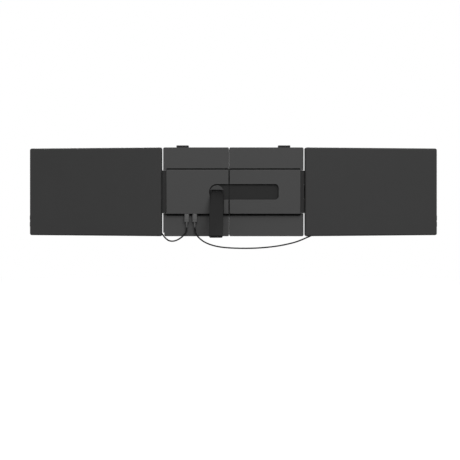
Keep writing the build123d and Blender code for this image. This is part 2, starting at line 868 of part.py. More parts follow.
with BuildPart() as swivel_nut:
    with BuildSketch(rear(pin_front)):
        with Locations((pivot_x, 0)):
            RegularPolygon(nut_radius, 6)
            Circle(swivel_pin_radius, mode=Mode.SUBTRACT)
    extrude(amount=nut_thickness)
save(swivel_nut, "swivel_nut")

leg_turn = radians(leg_angle)
leg_plane = Plane(
    (pivot_x, leg_mid, -tilt_drop), x_dir=(1, 0, 0), z_dir=(0, -cos(leg_turn), sin(leg_turn))
)
leg_end = leg_length - tilt_drop
leg_top = leg_knuckle + neck_gap
leg_bottom = leg_end - pad_length
with BuildPart() as leg:
    with BuildSketch(leg_plane.offset(-leg_knuckle)):
        with Locations((0, -(leg_top + leg_bottom) / 2)):
            Rectangle(leg_width, leg_bottom - leg_top)
    extrude(amount=leg_thickness)
    fillet(leg.edges().group_by(SortBy.LENGTH)[-1], leg_round)
    with BuildSketch(leg_plane.offset(-leg_knuckle)):
        with Locations((0, -leg_top / 2)):
            Rectangle(2 * knuckle_half, leg_top)
    extrude(amount=leg_thickness)
    with BuildSketch(Plane.YZ.offset(pivot_x - knuckle_half)):
        with Locations((leg_mid, -tilt_drop)):
            Circle(leg_knuckle)
    extrude(amount=2 * knuckle_half)
    with BuildSketch(Plane.YZ.offset(pivot_x - knuckle_half)):
        with Locations((leg_mid, -tilt_drop)):
            Circle(tilt_pin_radius + pin_clearance)
    extrude(amount=2 * knuckle_half, mode=Mode.SUBTRACT)
    with BuildSketch(leg_plane.offset(-leg_knuckle)):
        with Locations((0, -(leg_top + leg_end) / 2)):
            hollow_width = leg_width - 2 * leg_hollow_border
            hollow_length = leg_end - leg_top - 2 * leg_hollow_ends
            RectangleRounded(hollow_width, hollow_length, leg_hollow_corner)
    extrude(amount=leg_hollow_depth, mode=Mode.SUBTRACT)
save(leg, "leg")

with BuildPart() as foot_pad:
    with BuildSketch(leg_plane.offset(pad_face_inset - leg_knuckle)):
        with Locations((0, pad_length / 2 - leg_end)):
            Rectangle(leg_width - 2 * pad_side_inset, pad_length)
        fillet(vertices().group_by(Axis.Y)[0], pad_end_corner)
    extrude(amount=leg_thickness - 2 * pad_face_inset)
    fillet(foot_pad.edges().filter_by(Axis.X).group_by(Axis.Z)[0], pad_round)
save(foot_pad, "foot_pad")

# ------------------------------------------------------------ lid hooks

blade_top = top + hook_gap
lip_bottom = top + lip_lift
crown_top = top + hook_rise
underside = crown_top - hook_flange
for side, s in sides:
    with BuildPart() as hook:
        with BuildSketch(Plane.XY.offset(blade_top)):
            with Locations((s * hook_x, pocket_y)):
                Rectangle(blade_width, blade_thickness)
        extrude(amount=-blade_length)
        with BuildSketch(Plane.XY.offset(blade_top)):
            with Locations((s * hook_x, plate_rear / 2)):
                Rectangle(hook_width, -plate_rear)
        extrude(amount=crown_top - blade_top)
        with BuildSketch(Plane.XY.offset(underside)):
            with Locations((s * hook_x, (hook_throat + hook_lip) / 2)):
                Rectangle(hook_width, hook_throat + hook_lip)
        extrude(amount=hook_flange)
        with BuildSketch(Plane.XY.offset(lip_bottom)):
            with Locations((s * hook_x, hook_throat + hook_lip / 2)):
                Rectangle(hook_width, hook_lip)
        extrude(amount=crown_top - lip_bottom)
        fillet(hook.edges().filter_by(Axis.Y).group_by(Axis.Z)[-1], hook_round)
    save(hook, f"{side}_hook")

    with BuildPart() as hook_pad:
        with BuildSketch(Plane.YZ.offset(s * hook_x - blade_width / 2)):
            with Locations((hook_throat / 2, underside - hook_liner / 2)):
                Rectangle(hook_throat, hook_liner)
            with Locations((hook_throat - hook_liner / 2, (underside + lip_bottom) / 2)):
                Rectangle(hook_liner, underside - lip_bottom)
        extrude(amount=blade_width)
    save(hook_pad, f"{side}_hook_pad")

# ------------------------------------------------------------ screens

gland_lengths = {"left": left_gland_length, "right": right_gland_length}
button_z = {"power": power_rise - top, "menu": menu_rise - top}
notch_depth = arm_depth + bar_gap
notch_end = right_knuckle_radius + bar_gap
notch_start = -right_overhang - cut_overrun

for side, s in sides:
    front = front_depth[side]
    back = front + wing_thickness
    glass_back = front + bezel_thickness + panel_thickness
    panel_back = glass_back + backlight_thickness
    floor = back - shell_skin
    leaf_floor = floor - leaf_thickness
    middle = wing_x(side, s, wing_width / 2)
    far_wall = wing_x(side, s, wing_width)
    panel_size = (display_width + 2 * panel_border, display_height + 2 * panel_border)
    supports = [
        (middle + step * support_pitch, up * support_rise)
        for step in (-1, 0, 1)
        for up in (-1, 1)
    ]
    leaf_screws = [
        (s * reach, up * (leaf_height / 2 - leaf_screw_edge))
        for reach in (leaf_screw_start, leaf_length - leaf_screw_end)
        for up in (-1, 1)
    ]
    gland_plane = Plane(entries[side], z_dir=entry_ways[side])

    backwards = Axis((0, 0, 0), wing_plane(side, s).z_dir)
    with BuildPart() as cavity:
        with BuildSketch(wing_plane(side, s, front + bezel_thickness)):
            with Locations((middle, 0)):
                inside = (wing_width - 2 * shell_wall, wing_height - 2 * shell_wall)
                RectangleRounded(*inside, wing_corner - shell_wall)
        extrude(amount=floor - front - bezel_thickness)
        fillet(cavity.faces().sort_by(backwards)[-1].edges(), cavity_round)

    with BuildPart() as wing_cover:
        with BuildSketch(wing_plane(side, s, front + bezel_thickness)):
            with Locations((middle, 0)):
                RectangleRounded(wing_width, wing_height, wing_corner)
        extrude(amount=wing_thickness - bezel_thickness)
        fillet(wing_cover.faces().sort_by(backwards)[-1].edges(), wing_rear_round)
        add(cavity.part, mode=Mode.SUBTRACT)
        with BuildSketch(wing_plane(side, s, panel_back)):
            with Locations(*supports):
                Circle(support_radius)
        extrude(amount=floor - panel_back)
        if side == "right":
            with BuildSketch(hinge_plane(side, s, -bar_half - bar_gap)):
                with Locations(((notch_start + notch_end) / 2, -notch_depth / 2)):
                    Rectangle(notch_end - notch_start, notch_depth)
            extrude(amount=bar_height + 2 * bar_gap, mode=Mode.SUBTRACT)
        slot_start = shell_wall if side == "right" else -cut_overrun
        with BuildSketch(wing_plane(side, s, leaf_floor - leaf_slot_gap)):
            with Locations((wing_x(side, s, (slot_start + leaf_slot_reach) / 2), 0)):
                Rectangle(leaf_slot_reach - slot_start, leaf_height + 2 * leaf_slot_gap)
        extrude(amount=leaf_thickness + leaf_slot_gap, mode=Mode.SUBTRACT)
        with BuildSketch(gland_plane):
            Circle(gland_radius)
        extrude(amount=gland_lengths[side], mode=Mode.SUBTRACT)
        button_front = (front + back - button_height) / 2 - button_shift
        for z in button_z.values():
            with BuildSketch(wing_plane(side, s, button_front - button_gap)):
                with Locations((far_wall, z)):
                    Rectangle(2 * (shell_wall + cut_overrun), button_length + 2 * button_gap)
            extrude(amount=button_height + 2 * button_gap, mode=Mode.SUBTRACT)
    save(wing_cover, f"{side}_wing_cover")

    with BuildPart() as wing_bezel:
        with BuildSketch(wing_plane(side, s, front)):
            with Locations((middle, 0)):
                RectangleRounded(wing_width, wing_height, wing_corner)
                Rectangle(display_width, display_height, mode=Mode.SUBTRACT)
        extrude(amount=bezel_thickness)
        if side == "right":
            with BuildSketch(hinge_plane(side, s, -bar_half - bar_gap)):
                with Locations(((notch_start + notch_end) / 2, -notch_depth / 2)):
                    Rectangle(notch_end - notch_start, notch_depth)
            extrude(amount=bar_height + 2 * bar_gap, mode=Mode.SUBTRACT)
    save(wing_bezel, f"{side}_wing_bezel")

    with BuildPart() as display_panel:
        with BuildSketch(wing_plane(side, s, front + bezel_thickness)):
            with Locations((middle, 0)):
                Rectangle(*panel_size)
        extrude(amount=panel_thickness)
    save(display_panel, f"{side}_display_panel")

    with BuildPart() as backlight:
        with BuildSketch(wing_plane(side, s, glass_back)):
            with Locations((middle, 0)):
                Rectangle(*panel_size)
        extrude(amount=backlight_thickness)
    save(backlight, f"{side}_backlight")

    with BuildPart() as driver_board:
        with BuildSketch(wing_plane(side, s, floor - driver_thickness)):
            with Locations((wing_x(side, s, driver_reach), driver_rise - top)):
                Rectangle(driver_width, driver_height)
        extrude(amount=driver_thickness)
    save(driver_board, f"{side}_driver_board")

    with BuildPart() as speakers:
        with BuildSketch(wing_plane(side, s, panel_back + inner_gap)):
            for reach in (speaker_inset, wing_width - speaker_inset):
                with Locations((wing_x(side, s, reach), speaker_rise - top)):
                    RectangleRounded(speaker_width, speaker_height, speaker_corner)
        extrude(amount=rear_space - inner_gap)
    save(speakers, f"{side}_speakers")

    riser = {
        "left": (-left_riser_half, left_riser_half),
        "right": (shell_wall + leaf_wall_gap - right_overhang, right_knuckle_radius),
    }
    riser_start, riser_end = riser[side]
    with BuildPart() as hinge_leaf:
        with BuildSketch(wing_plane(side, s, leaf_floor)):
            with Locations((s * (riser_start + leaf_length) / 2, 0)):
                Rectangle(leaf_length - riser_start, leaf_height)
            with Locations(*leaf_screws):
                Circle(screw_radius + slide_clearance, mode=Mode.SUBTRACT)
        extrude(amount=leaf_thickness)
        with BuildSketch(hinge_plane(side, s, -leaf_height / 2)):
            Circle(knuckle_radius[side])
            with Locations((s * (riser_start + riser_end) / 2, -floor / 2)):
                Rectangle(riser_end - riser_start, floor)
            Circle(pin_radius, mode=Mode.SUBTRACT)
        extrude(amount=leaf_height)
    save(hinge_leaf, f"{side}_hinge_leaf")

    with BuildPart() as hinge_pin:
        with BuildSketch(Plane((axis_x[side], axis_y[side], pin_end_gap - bar_half))):
            Circle(pin_radius)
        extrude(amount=bar_height - 2 * pin_end_gap)
    save(hinge_pin, f"{side}_hinge_pin")

    with BuildPart() as hinge_screws:
        with BuildSketch(wing_plane(side, s, panel_back + inner_gap)):
            with Locations(*leaf_screws):
                Circle(screw_head_radius)
        extrude(amount=leaf_floor - panel_back - inner_gap)
        with BuildSketch(wing_plane(side, s, leaf_floor)):
            with Locations(*leaf_screws):
                Circle(screw_radius)
        extrude(amount=leaf_thickness)
    save(hinge_screws, f"{side}_hinge_screws")

    with BuildPart() as cable_gland:
        with BuildSketch(gland_plane):
            Circle(gland_radius)
        extrude(amount=gland_lengths[side])
    save(cable_gland, f"{side}_cable_gland")

    for name, z in button_z.items():
        with BuildPart() as button:
            stem = shell_wall + button_proud
            with BuildSketch(wing_plane(side, s, button_front)):
                with Locations((far_wall + s * (button_proud - stem / 2), z)):
                    Rectangle(stem, button_length)
            extrude(amount=button_height)
            with BuildSketch(wing_plane(side, s, button_front - button_flange)):
                with Locations((far_wall - s * (shell_wall + button_flange / 2), z)):
                    Rectangle(button_flange, button_length + 2 * button_flange)
            extrude(amount=button_height + 2 * button_flange)
        save(button, f"{side}_{name}_button")
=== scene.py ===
from math import cos, pi, radians, sin

import bmesh
import bpy
from mathutils import Matrix, Vector


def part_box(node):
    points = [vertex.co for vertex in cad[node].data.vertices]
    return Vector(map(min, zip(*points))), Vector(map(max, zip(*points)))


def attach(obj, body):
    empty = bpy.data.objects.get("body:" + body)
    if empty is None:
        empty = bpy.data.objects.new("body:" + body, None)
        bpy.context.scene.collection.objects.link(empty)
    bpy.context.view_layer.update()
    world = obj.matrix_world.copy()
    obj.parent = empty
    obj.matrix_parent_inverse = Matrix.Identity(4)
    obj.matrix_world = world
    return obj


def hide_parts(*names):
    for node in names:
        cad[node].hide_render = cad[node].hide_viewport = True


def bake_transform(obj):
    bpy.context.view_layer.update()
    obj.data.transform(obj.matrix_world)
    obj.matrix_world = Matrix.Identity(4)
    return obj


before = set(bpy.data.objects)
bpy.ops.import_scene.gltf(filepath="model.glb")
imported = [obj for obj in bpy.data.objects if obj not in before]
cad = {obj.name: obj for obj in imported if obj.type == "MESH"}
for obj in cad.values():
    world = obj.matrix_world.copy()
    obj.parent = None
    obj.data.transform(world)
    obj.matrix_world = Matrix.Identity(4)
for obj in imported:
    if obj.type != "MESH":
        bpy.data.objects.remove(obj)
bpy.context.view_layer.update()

# ------------------------------------------------------------------- camera
# The object is seen from straight behind, from about two metres, level with the
# middle of the hub. The lens's shift frames it without turning the view.

camera_distance = 1.955  # behind the back plates
camera_data = bpy.data.cameras.new("camera")
camera_data.lens = 65.4
camera_data.sensor_width = 36.0
camera_data.shift_x = -0.0073
camera_data.shift_y = -0.083
camera = bpy.data.objects.new("camera", camera_data)
camera.location = (0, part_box("right_back_plate")[0].y - camera_distance, 0)
camera.rotation_euler = (pi / 2, 0, 0)
bpy.context.scene.collection.objects.link(camera)
bpy.context.scene.camera = camera
bpy.context.scene.view_settings.view_transform = "Standard"

# -------------------------------------------------------------------- light
# A white studio: a large soft lamp above and behind, a weaker one for the screens'
# faces, and a dim sky that is seen as plain white. The floor takes the object's
# shadow, and fades into that white further out.


def set_inputs(node, values):
    """Sets a node's inputs to plain values, or links other nodes' outputs to them."""
    for key, value in values.items():
        if isinstance(value, bpy.types.NodeSocket):
            node.id_data.links.new(value, node.inputs[key])
        else:
            node.inputs[key].default_value = value


def add_node(tree, kind, values=None, **settings):
    """A new node with its settings, and its inputs by name or number."""
    node = tree.nodes.new(kind)
    for name, setting in settings.items():
        setattr(node, name, setting)
    set_inputs(node, values or {})
    return node


def calculate(tree, operation, *values):
    """The output of a Math node. Each value is a number or another node's output."""
    return add_node(tree, "ShaderNodeMath", dict(enumerate(values)), operation=operation).outputs[0]


def seen_directly(tree):
    """1 for rays from the camera, also mirrored or refracted ones, and 0 for light."""
    ray = add_node(tree, "ShaderNodeLightPath").outputs
    unbent = calculate(tree, "MAXIMUM", ray["Is Camera Ray"], ray["Is Glossy Ray"])
    return calculate(tree, "MAXIMUM", unbent, ray["Is Transmission Ray"])


def softbox(name, place, width, height, power):
    """A rectangular soft lamp that faces the middle of the object."""
    lamp_data = bpy.data.lights.new(name, "AREA")
    lamp_data.shape = "RECTANGLE"
    lamp_data.size = width
    lamp_data.size_y = height
    lamp_data.energy = power
    lamp = bpy.data.objects.new(name, lamp_data)
    lamp.location = place
    lamp.rotation_euler = Vector(place).to_track_quat("Z", "Y").to_euler()
    bpy.context.scene.collection.objects.link(lamp)


def finish_mesh(name, bm):
    """Turns a bmesh into a mesh, and frees it."""
    mesh = bpy.data.meshes.new(name)
    bm.to_mesh(mesh)
    bm.free()
    return mesh


def add_mesh_object(name, mesh, material):
    """Puts a finished mesh into the scene under its own name."""
    mesh.name = name
    mesh.materials.clear()
    mesh.materials.append(material)
    piece = bpy.data.objects.new(name, mesh)
    bpy.context.scene.collection.objects.link(piece)
    return piece


plain_white = (1, 1, 1, 1)
sky_top = 0.8  # how steep a ray meets the full sky, from 0 for level to 1 for upright
world = bpy.data.worlds.new("studio")
bpy.context.scene.world = world
world.use_nodes = True
sky = world.node_tree
sky.nodes.clear()
sky_way = add_node(sky, "ShaderNodeTexCoord")
sky_split = add_node(sky, "ShaderNodeSeparateXYZ", {"Vector": sky_way.outputs["Generated"]})
sky_fade = add_node(sky, "ShaderNodeMapRange", {
    "Value": sky_split.outputs["Z"], "From Max": sky_top,
})
fill_light = add_node(sky, "ShaderNodeBackground", {
    "Color": plain_white, "Strength": sky_fade.outputs["Result"],
})
seen_sky = add_node(sky, "ShaderNodeBackground", {"Color": plain_white})
either_sky = add_node(sky, "ShaderNodeMixShader", {
    0: seen_directly(sky), 1: fill_light.outputs[0], 2: seen_sky.outputs[0],
})
add_node(sky, "ShaderNodeOutputWorld", {"Surface": either_sky.outputs[0]})

softbox("key_softbox", place=(1.1, -6.0, 3.4), width=6.0, height=4.2, power=443)
softbox("face_softbox", place=(-0.6, 3.4, 2.2), width=2.4, height=1.6, power=170)

floor_drop = 0.45  # below the middle of the hub
floor_radius = 9.0
floor_glow = 0.84  # lifts the lit floor to white
fade_start = 1.0  # the floor fades into plain white from here
fade_end = 2.6
pale = bpy.data.materials.new("pale_floor")
pale.use_nodes = True
pale_tree = pale.node_tree
pale_shader = pale_tree.nodes["Principled BSDF"]
set_inputs(pale_shader, {
    "Base Color": (0.30, 0.30, 0.30, 1), "Roughness": 0.9, "Specular IOR Level": 0.05,
})
pale_seen = seen_directly(pale_tree)
pale_glow = add_node(pale_tree, "ShaderNodeEmission", {
    "Strength": calculate(pale_tree, "MULTIPLY", pale_seen, floor_glow),
})
pale_lit = add_node(pale_tree, "ShaderNodeAddShader", {
    0: pale_shader.outputs[0], 1: pale_glow.outputs[0],
})
# It sends hardly any light back up to the object.
pale_dim = add_node(pale_tree, "ShaderNodeBsdfDiffuse", {"Color": (0.02, 0.02, 0.02, 1)})
pale_near = add_node(pale_tree, "ShaderNodeMixShader", {
    0: pale_seen, 1: pale_dim.outputs[0], 2: pale_lit.outputs[0],
})
pale_place = add_node(pale_tree, "ShaderNodeTexCoord")
pale_reach = add_node(pale_tree, "ShaderNodeVectorMath", {
    0: pale_place.outputs["Object"],
}, operation="LENGTH")
pale_fade = add_node(pale_tree, "ShaderNodeMapRange", {
    "Value": pale_reach.outputs["Value"], "From Min": fade_start, "From Max": fade_end,
}, interpolation_type="SMOOTHSTEP")
pale_far = add_node(pale_tree, "ShaderNodeEmission", {"Strength": 1.0})
pale_mix = add_node(pale_tree, "ShaderNodeMixShader", {
    0: calculate(pale_tree, "MULTIPLY", pale_fade.outputs["Result"], pale_seen),
    1: pale_near.outputs[0],
    2: pale_far.outputs[0],
})
set_inputs(pale_tree.nodes["Material Output"], {"Surface": pale_mix.outputs[0]})
floor_bm = bmesh.new()
bmesh.ops.create_circle(floor_bm, cap_ends=True, segments=96, radius=floor_radius)
floor_mesh = finish_mesh("floor", floor_bm)
floor_mesh.transform(Matrix.Translation((0, 0, -floor_drop)))
floor = add_mesh_object("floor", floor_mesh, pale)

# ------------------------------------------------------------------- cables
# Two thin USB cables with a soft black jacket. Each is pushed into the hub's
# underside, hangs in one curve, and goes into its screen near the hinge.

cable_radius = 0.0017
cable_sides = 20


def start_material(name):
    """A new material, its node tree, and the place on the object for its patterns."""
    material = bpy.data.materials.new(name)
    material.use_nodes = True
    tree = material.node_tree
    return material, tree, add_node(tree, "ShaderNodeTexCoord").outputs["Object"]


def noise(tree, place, scale, detail):
    """A noise pattern, from 0 to 1."""
    return add_node(tree, "ShaderNodeTexNoise", {
        "Vector": place, "Scale": scale, "Detail": detail,
    }).outputs["Fac"]


def drift(tree, pattern, colour, darkest, lightest):
    """A colour that goes from its darkest share to its lightest with a pattern."""
    return add_node(tree, "ShaderNodeMix", {
        "Factor": pattern,
        "A": (*[c * darkest for c in colour], 1),
        "B": (*[c * lightest for c in colour], 1),
    }, data_type="RGBA").outputs["Result"]


def around(tree, pattern, middle, swing, low=0.0, high=1.0):
    """A value that swings about its middle as a pattern goes from low to high."""
    return add_node(tree, "ShaderNodeMapRange", {
        "Value": pattern, "From Min": low, "From Max": high,
        "To Min": middle - swing, "To Max": middle + swing,
    }).outputs["Result"]


def relief(tree, pattern, depth):
    """The normal of a surface that a pattern raises by up to a depth."""
    return add_node(tree, "ShaderNodeBump", {
        "Height": pattern, "Strength": 1.0, "Distance": depth,
    }).outputs["Normal"]


def soft_black(name, colour, roughness, grain, depth, specular=0.2):
    """A dull elastomer with a fine even bloom on it."""
    material, tree, place = start_material(name)
    fine = noise(tree, place, scale=1 / grain, detail=3.0)
    broad = noise(tree, place, scale=55.0, detail=2.0)
    set_inputs(tree.nodes["Principled BSDF"], {
        "Base Color": drift(tree, broad, colour, darkest=0.82, lightest=1.2),
        "Roughness": around(tree, fine, roughness, swing=0.07),
        "Normal": relief(tree, fine, depth),
        "Specular IOR Level": specular,
    })
    return material


jacket = soft_black(
    "cable_jacket", (0.011, 0.011, 0.011), roughness=0.5, grain=0.0005, depth=0.00001,
    specular=0.06)

# The points that steer each cable, from its plug to its screen. The right one
# crosses two joints, so its tail is a piece of its own.
left_route = [
    (-0.1088, -0.01105, -0.0820),
    (-0.1088, -0.01105, -0.0918),
    (-0.1145, -0.0098, -0.1008),
    (-0.1240, -0.0069, -0.1087),
    (-0.1365, -0.0042, -0.1153),
    (-0.1495, -0.0030, -0.1155),
    (-0.15879, -0.0029, -0.10930),
    (-0.16555, -0.0029, -0.1000),
]
right_route = [
    (-0.0900, -0.01105, -0.0820),
    (-0.0900, -0.01105, -0.0918),
    (-0.0860, -0.0098, -0.1009),
    (-0.0784, -0.0078, -0.1094),
    (-0.0675, -0.0054, -0.1178),
    (-0.0520, -0.0042, -0.1244),
    (-0.0330, -0.0036, -0.1290),
    (-0.0090, -0.0032, -0.1314),
    (0.0200, -0.0030, -0.1323),
    (0.0500, -0.0030, -0.1320),
    (0.0800, -0.0028, -0.1299),
    (0.1080, -0.0026, -0.1264),
    (0.1210, -0.0024, -0.12365),
]
tail_route = [
    (0.1210, -0.0024, -0.12365),
    (0.1340, -0.0022, -0.1209),
    (0.15504, -0.0019, -0.11489),
    (0.1732, -0.0019, -0.1065),
]


def smooth_line(name, route):
    """The points of the smooth line that a cable follows through its route."""
    curve = bpy.data.curves.new(name, "CURVE")
    curve.dimensions = "3D"
    curve.resolution_u = 10
    spline = curve.splines.new("NURBS")
    spline.points.add(len(route) - 1)
    for point, place in zip(spline.points, route):
        point.co = (*place, 1)
    spline.order_u = 3
    spline.use_endpoint_u = True
    carrier = bpy.data.objects.new(name, curve)
    bpy.context.scene.collection.objects.link(carrier)
    ready = carrier.evaluated_get(bpy.context.evaluated_depsgraph_get())
    line_mesh = bpy.data.meshes.new_from_object(ready)
    line = [v.co.copy() for v in line_mesh.vertices]
    bpy.data.objects.remove(carrier)
    bpy.data.meshes.remove(line_mesh)
    return line


def band(bm, one, two, smooth=True):
    """The faces between two rings with the same number of points."""
    for j in range(len(one)):
        k = (j + 1) % len(one)
        bm.faces.new((one[j], one[k], two[k], two[j])).smooth = smooth


def jacket_tube(name, line):
    """A round jacket along a line, closed at both ends."""
    bm = bmesh.new()
    way = (line[1] - line[0]).normalized()
    across = way.cross(Vector((0, 1, 0))).normalized()
    rings = []
    for i, middle in enumerate(line):
        ahead = line[min(i + 1, len(line) - 1)] - line[max(i - 1, 0)]
        way = ahead.normalized()
        across = (across - way * across.dot(way)).normalized()
        beside = way.cross(across)
        ring = []
        for j in range(cable_sides):
            turn = 2 * pi * j / cable_sides
            spoke = across * cos(turn) + beside * sin(turn)
            ring.append(bm.verts.new(middle + spoke * cable_radius))
        rings.append(ring)
    for one, two in zip(rings, rings[1:]):
        band(bm, one, two)
    bm.faces.new(rings[0][::-1])
    bm.faces.new(rings[-1])
    return add_mesh_object(name, finish_mesh(name, bm), jacket)


left_line = smooth_line("left_line", left_route)
right_line = smooth_line("right_line", right_route)
tail_line = smooth_line("tail_line", tail_route)
left_jacket = jacket_tube("left_cable_jacket", left_line)
right_jacket = jacket_tube("right_cable_jacket", right_line)
tail_jacket = jacket_tube("right_cable_end_jacket", tail_line)
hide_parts("left_cable")
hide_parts("right_cable")
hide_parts("right_cable_end")
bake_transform(left_jacket)
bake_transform(right_jacket)
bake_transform(tail_jacket)

# ------------------------------------------------------- plugs and sleeves
# Each cable ends in a USB-C plug: a grey moulded grip and a grey ribbed neck that
# tapers to the jacket. A short black rubber sleeve lines each screen's entry.


def fine_plastic(name, colour, roughness, grain, depth, specular=0.09):
    """Moulded or sandblasted stock: an even fine grain, and a slow drift of tone."""
    material, tree, place = start_material(name)
    fine = noise(tree, place, scale=1 / grain, detail=2.0)
    broad = noise(tree, place, scale=14.0, detail=4.0)
    mottle = add_node(tree, "ShaderNodeMapRange", {
        "Value": calculate(tree, "ADD", fine, broad), "From Min": 0.6, "From Max": 1.4,
    }).outputs["Result"]
    set_inputs(tree.nodes["Principled BSDF"], {
        "Base Color": drift(tree, mottle, colour, darkest=0.95, lightest=1.05),
        "Roughness": around(tree, broad, roughness, swing=0.05, low=0.3, high=0.7),
        "Normal": relief(tree, fine, depth),
        "Specular IOR Level": specular,
    })
    return material


grip_grey = fine_plastic(
    "plug_grip", (0.078, 0.078, 0.078), roughness=0.5, grain=0.0004, depth=0.00001, specular=0.2)
neck_grey = soft_black(
    "neck_grey", (0.075, 0.075, 0.075), roughness=0.5, grain=0.0005, depth=0.00001, specular=0.2)


def rounded_ring(width, height, corner, steps):
    """Points of a rounded rectangle about the origin, as (x, y), anticlockwise."""
    ring = []
    for quarter in range(4):
        side_x = 1 if quarter in (0, 3) else -1
        side_y = 1 if quarter in (0, 1) else -1
        for step in range(steps + 1):
            turn = pi / 2 * (quarter + step / steps)
            x = side_x * (width / 2 - corner) + corner * cos(turn)
            y = side_y * (height / 2 - corner) + corner * sin(turn)
            ring.append((x, y))
    return ring


def skin(name, rings, material):
    """A closed smooth-sided solid through a stack of rings of points."""
    bm = bmesh.new()
    loops = [[bm.verts.new(p) for p in ring] for ring in rings]
    for one, two in zip(loops, loops[1:]):
        band(bm, one, two)
    bm.faces.new(loops[0][::-1])
    bm.faces.new(loops[-1])
    bmesh.ops.recalc_face_normals(bm, faces=bm.faces)
    mesh = finish_mesh(name, bm)
    mesh.set_sharp_from_angle(angle=radians(35))
    return add_mesh_object(name, mesh, material)


def start_tree(name, sizes):
    """A Geometry Nodes tree with named size inputs: it, those inputs and its end node."""
    tree = bpy.data.node_groups.new(name, "GeometryNodeTree")
    tree.interface.new_socket("Geometry", in_out="OUTPUT", socket_type="NodeSocketGeometry")
    for label, kind in sizes:
        tree.interface.new_socket(label, in_out="INPUT", socket_type=f"NodeSocket{kind}")
    return tree, tree.nodes.new("NodeGroupInput").outputs, tree.nodes.new("NodeGroupOutput")


def finish_tree(tree, given, result, source):
    """Ends a tree in Realize Instances and Set Material."""
    real = add_node(tree, "GeometryNodeRealizeInstances", {"Geometry": source})
    paint = add_node(tree, "GeometryNodeSetMaterial", {
        "Geometry": real.outputs["Geometry"], "Material": given["Material"],
    })
    set_inputs(result, {"Geometry": paint.outputs["Geometry"]})


def grow(name, tree, values, place=Matrix.Identity(4)):
    """Runs a tree with its inputs set, and keeps the result as a plain mesh object."""
    seed_mesh = bpy.data.meshes.new(name + "_seed")
    carrier = bpy.data.objects.new(name + "_carrier", seed_mesh)
    bpy.context.scene.collection.objects.link(carrier)
    modifier = carrier.modifiers.new("grow", "NODES")
    modifier.node_group = tree
    for item in tree.interface.items_tree:
        if item.in_out == "INPUT" and item.name in values:
            modifier[item.identifier] = values[item.name]
    ready = carrier.evaluated_get(bpy.context.evaluated_depsgraph_get())
    mesh = bpy.data.meshes.new_from_object(ready)
    bpy.data.objects.remove(carrier)
    mesh.transform(place)
    return add_mesh_object(name, mesh, values["Material"])


neck_tree, neck_sizes, neck_end_node = start_tree("ribbed_sleeve", [
    ("Start", "Vector"), ("End", "Vector"), ("Root Radius", "Float"), ("Tip Radius", "Float"),
    ("Ribs", "Int"), ("Rib Depth", "Float"), ("Steps", "Int"), ("Material", "Material"),
])
neck_axis = add_node(neck_tree, "GeometryNodeCurvePrimitiveLine", {
    "Start": neck_sizes["Start"], "End": neck_sizes["End"],
})
neck_steps = add_node(neck_tree, "GeometryNodeResampleCurve", {
    "Curve": neck_axis.outputs[0], "Count": neck_sizes["Steps"],
})
neck_along = add_node(neck_tree, "GeometryNodeSplineParameter").outputs["Factor"]
neck_taper = add_node(neck_tree, "ShaderNodeMapRange", {
    "Value": neck_along,
    "To Min": neck_sizes["Root Radius"],
    "To Max": neck_sizes["Tip Radius"],
})
neck_phase = calculate(neck_tree, "MULTIPLY", neck_along, neck_sizes["Ribs"])
neck_wave = calculate(neck_tree, "COSINE", calculate(neck_tree, "MULTIPLY", neck_phase, 2 * pi))
neck_cut = calculate(neck_tree, "MULTIPLY_ADD", neck_wave, 0.5, -0.5)  # 0 on a rib, -1 between
neck_radius = calculate(
    neck_tree, "MULTIPLY_ADD", neck_cut, neck_sizes["Rib Depth"], neck_taper.outputs["Result"])
neck_ring = add_node(neck_tree, "GeometryNodeCurvePrimitiveCircle", {
    "Resolution": 24, "Radius": 1.0,
})
neck_skin = add_node(neck_tree, "GeometryNodeCurveToMesh", {
    "Curve": neck_steps.outputs["Curve"], "Profile Curve": neck_ring.outputs["Curve"],
    "Scale": neck_radius, "Fill Caps": True,
})
finish_tree(neck_tree, neck_sizes, neck_end_node, neck_skin.outputs["Mesh"])

grip_width = 0.0114
grip_thickness = 0.0058
grip_corner = 0.0024
grip_length = 0.0185
groove_places = (0.0128, 0.0141, 0.0154)  # three fine grooves near the neck
groove_depth = 0.00018
groove_half = 0.0003  # half its width at the surface
groove_floor = 1 - 2 * groove_depth / grip_thickness
neck_overlap = 0.0004  # of the neck and the grip
jacket_lap = 0.0012  # how far a neck or a sleeve runs along the jacket

